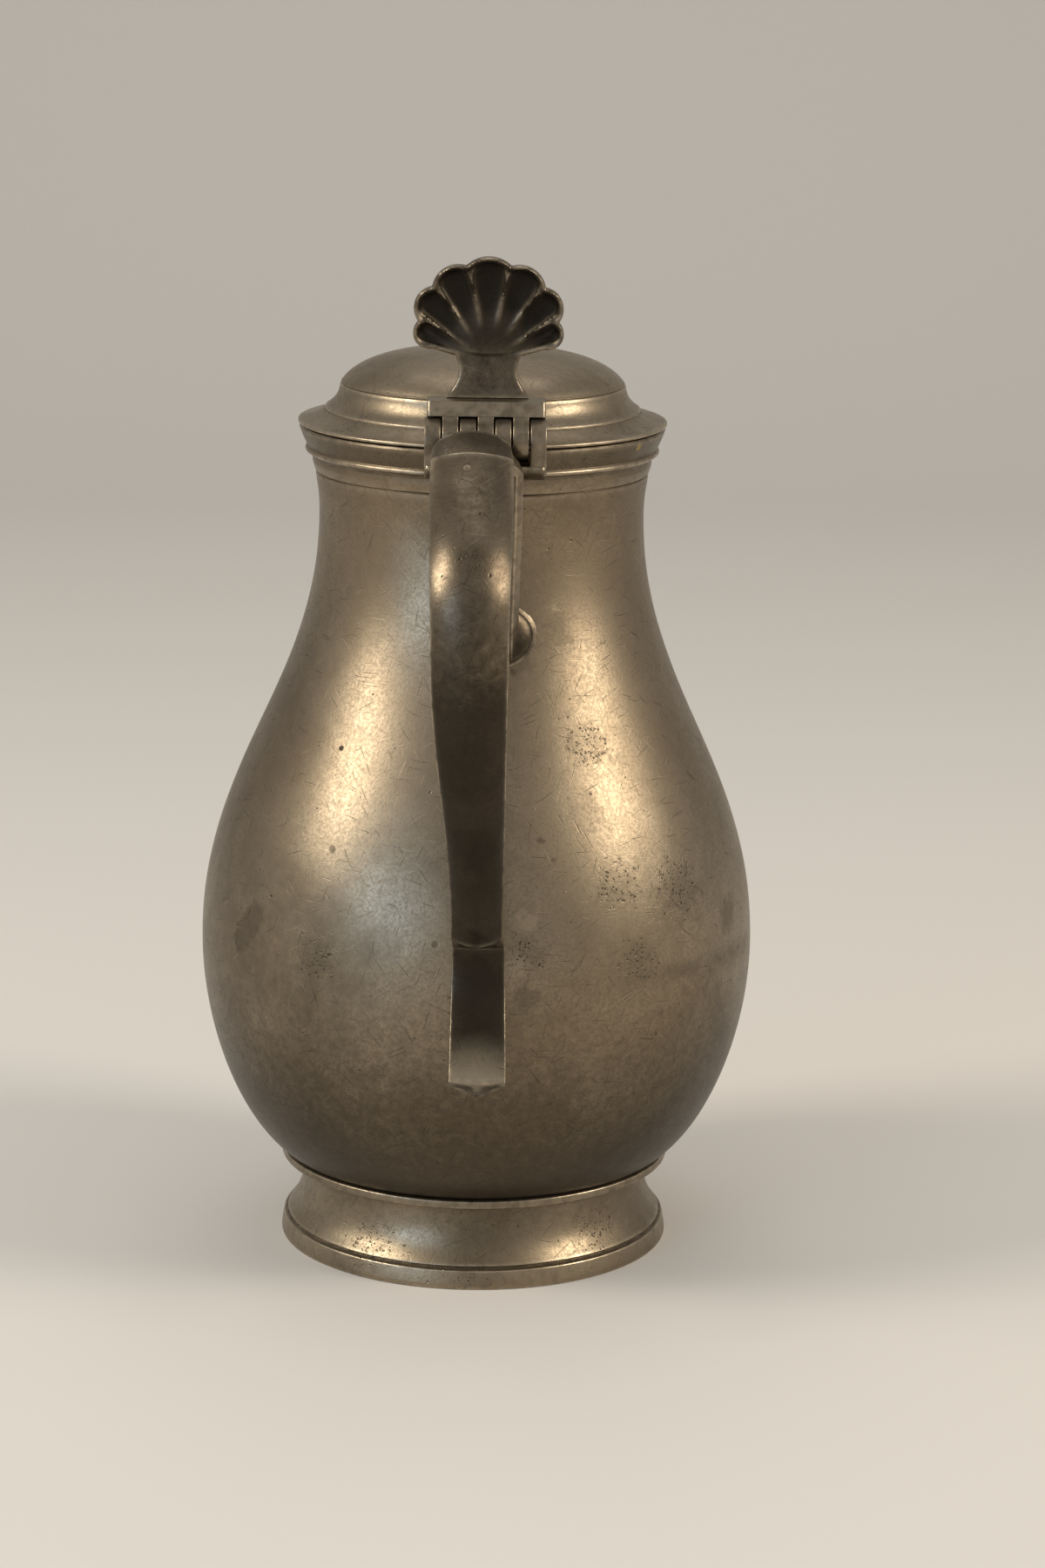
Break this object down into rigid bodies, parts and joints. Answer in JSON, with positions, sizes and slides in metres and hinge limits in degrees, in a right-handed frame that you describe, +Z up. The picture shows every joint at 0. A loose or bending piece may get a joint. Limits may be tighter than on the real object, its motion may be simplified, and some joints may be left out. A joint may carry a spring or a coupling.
{
  "type": "lidded pewter flagon",
  "caption": "Pear-shaped pewter flagon with a moulded foot, a plain round mouth, a hinged domed lid, a scallop thumbpiece and an ear-shaped strap handle.",
  "frame": {"origin": "centre of the round foot, on the plane that it stands on", "axes": "+Z up along the axis of the vessel; the handle and the hinge are on the -Y side; +X is the side that is on the right when the handle faces the viewer"},
  "size_m": [0.1576, 0.1948, 0.2887],
  "materials": {
    "body_metal": "dull worn pewter",
    "foot_metal": "dull worn pewter",
    "floor_metal": "dull worn pewter",
    "handle_metal": "dull worn pewter",
    "plug_metal": "dull worn pewter",
    "hinge_metal": "dull worn pewter",
    "pin_metal": "dull iron",
    "lid_metal": "dull worn pewter",
    "shell_metal": "dull pewter, dark in the flutes"
  },
  "bodies": {
    "flagon": {"foot": "foot_metal", "base_disc": "floor_metal", "lower_body": "body_metal", "upper_body": "body_metal", "neck_pad": "handle_metal", "handle": "handle_metal", "handle_plug": "plug_metal", "hinge_lug": "hinge_metal", "hinge_pin": "pin_metal"},
    "lid": {"lid": "lid_metal", "lid_bezel": "lid_metal", "lid_hinge_leaf": "hinge_metal", "thumbpiece": "shell_metal"}
  },
  "joints": [
    {"name": "lid_hinge", "type": "hinge", "parent": "flagon", "child": "lid", "pos_m": [0.0008, -0.0594, 0.2406], "axis": [1, 0, 0], "range_deg": [0, 95]}
  ]
}
